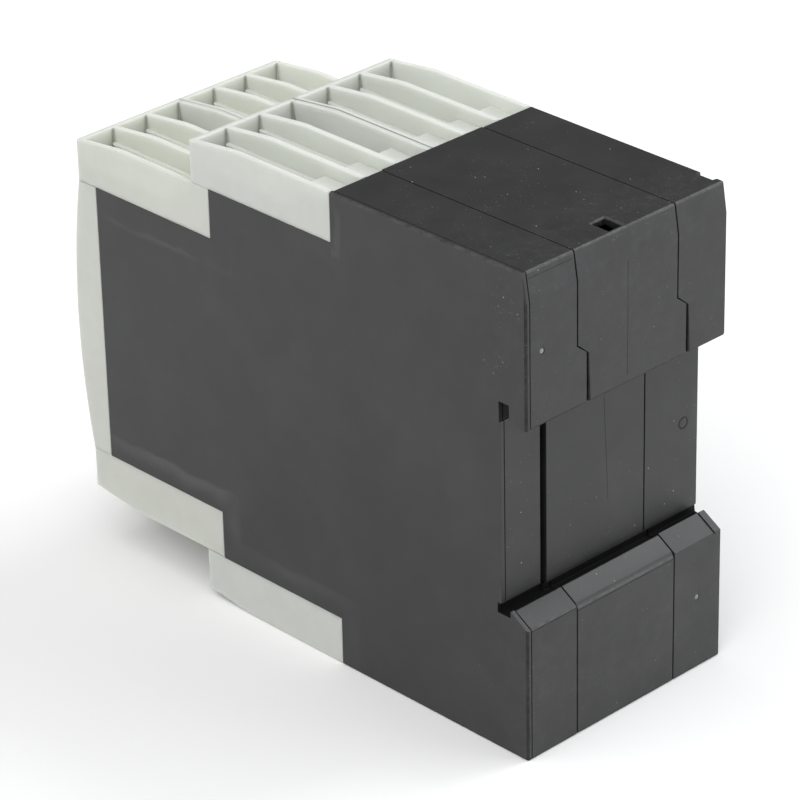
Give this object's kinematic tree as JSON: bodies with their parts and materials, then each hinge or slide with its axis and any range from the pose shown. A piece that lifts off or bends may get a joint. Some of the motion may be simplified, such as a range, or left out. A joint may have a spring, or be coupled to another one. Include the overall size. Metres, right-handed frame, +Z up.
{
  "type": "insulation monitoring relay",
  "caption": "Rail-mounted insulation monitoring relay: stepped black case, tiers of grey screw terminal blocks above and below a bulged front cover with setting knobs.",
  "frame": {"origin": "middle of the rail seat, on the flat face that a 35 mm rail's flanges press on", "axes": "+Z up as mounted, +Y out of the rail side, so the front with the controls looks along -Y, +X to the right as seen from the front"},
  "size_m": [0.045, 0.1059, 0.0856],
  "materials": {
    "black_plastic": "satin moulded",
    "grey_plastic": "satin moulded",
    "zinc_steel": "zinc plated",
    "tinned_brass": "bright",
    "circuit_board": "solder mask",
    "ferrite": "sintered",
    "winding_tape": "tape wrapped",
    "dark_housing": "moulded",
    "capacitor_can": "drawn can",
    "knob_plastic": "moulded",
    "button_plastic": "moulded",
    "slider_plastic": "moulded",
    "clear_plastic": "polished"
  },
  "bodies": {
    "case": {"right_side_shell": "black_plastic", "left_side_shell": "black_plastic", "centre_housing": "black_plastic", "front_cover": "grey_plastic", "upper_rear_terminal_block_left": "grey_plastic", "upper_rear_terminal_block_right": "grey_plastic", "upper_rear_terminal_screws": "zinc_steel", "upper_rear_clamp_cages": "zinc_steel", "upper_rear_contact_bars": "tinned_brass", "upper_front_terminal_block_left": "grey_plastic", "upper_front_terminal_block_right": "grey_plastic", "upper_front_terminal_screws": "zinc_steel", "upper_front_clamp_cages": "zinc_steel", "upper_front_contact_bars": "tinned_brass", "lower_rear_terminal_block_left": "grey_plastic", "lower_rear_terminal_block_right": "grey_plastic", "lower_rear_terminal_screws": "zinc_steel", "lower_rear_clamp_cages": "zinc_steel", "lower_rear_contact_bars": "tinned_brass", "lower_front_terminal_block_left": "grey_plastic", "lower_front_terminal_block_right": "grey_plastic", "lower_front_terminal_screws": "zinc_steel", "lower_front_clamp_cages": "zinc_steel", "lower_front_contact_bars": "tinned_brass", "left_circuit_board": "circuit_board", "right_circuit_board": "circuit_board", "control_board": "circuit_board", "transformer_core": "ferrite", "transformer_winding": "winding_tape", "output_relays": "dark_housing", "supply_capacitors": "capacitor_can", "board_connectors": "dark_housing", "threshold_switches": "dark_housing", "test_switch": "dark_housing", "dip_switch_body": "dark_housing", "supply_light_guide": "clear_plastic", "fault_light_guide": "clear_plastic", "relay_light_guide": "clear_plastic", "indicator_lamps": "clear_plastic"},
    "first_threshold_tens_knob": {"first_threshold_tens_knob": "knob_plastic"},
    "first_threshold_units_knob": {"first_threshold_units_knob": "knob_plastic"},
    "second_threshold_tens_knob": {"second_threshold_tens_knob": "knob_plastic"},
    "second_threshold_units_knob": {"second_threshold_units_knob": "knob_plastic"},
    "test_button": {"test_button": "button_plastic"},
    "dip_slider_1": {"dip_slider_1": "slider_plastic"},
    "dip_slider_2": {"dip_slider_2": "slider_plastic"},
    "dip_slider_3": {"dip_slider_3": "slider_plastic"},
    "dip_slider_4": {"dip_slider_4": "slider_plastic"}
  },
  "joints": [
    {"name": "first_threshold_tens_knob_turn", "type": "hinge", "parent": "case", "child": "first_threshold_tens_knob", "pos_m": [0.0015, -0.098, 0.0117], "axis": [0, 1, 0], "range_deg": [0, 324]},
    {"name": "first_threshold_units_knob_turn", "type": "hinge", "parent": "case", "child": "first_threshold_units_knob", "pos_m": [0.013, -0.098, 0.0117], "axis": [0, 1, 0], "range_deg": [0, 324]},
    {"name": "second_threshold_tens_knob_turn", "type": "hinge", "parent": "case", "child": "second_threshold_tens_knob", "pos_m": [0.0015, -0.098, -0.0013], "axis": [0, 1, 0], "range_deg": [0, 324]},
    {"name": "second_threshold_units_knob_turn", "type": "hinge", "parent": "case", "child": "second_threshold_units_knob", "pos_m": [0.013, -0.098, -0.0013], "axis": [0, 1, 0], "range_deg": [0, 324]},
    {"name": "test_button_press", "type": "slide", "parent": "case", "child": "test_button", "axis": [0, 1, 0], "range_m": [0, 0.0007], "stiffness_N_per_m": 2000, "springref_m": -0.0003},
    {"name": "dip_slider_1_shift", "type": "slide", "parent": "case", "child": "dip_slider_1", "axis": [0, 0, 1], "range_m": [0, 0.0015]},
    {"name": "dip_slider_2_shift", "type": "slide", "parent": "case", "child": "dip_slider_2", "axis": [0, 0, 1], "range_m": [0, 0.0015]},
    {"name": "dip_slider_3_shift", "type": "slide", "parent": "case", "child": "dip_slider_3", "axis": [0, 0, 1], "range_m": [0, 0.0015]},
    {"name": "dip_slider_4_shift", "type": "slide", "parent": "case", "child": "dip_slider_4", "axis": [0, 0, 1], "range_m": [0, 0.0015]}
  ]
}
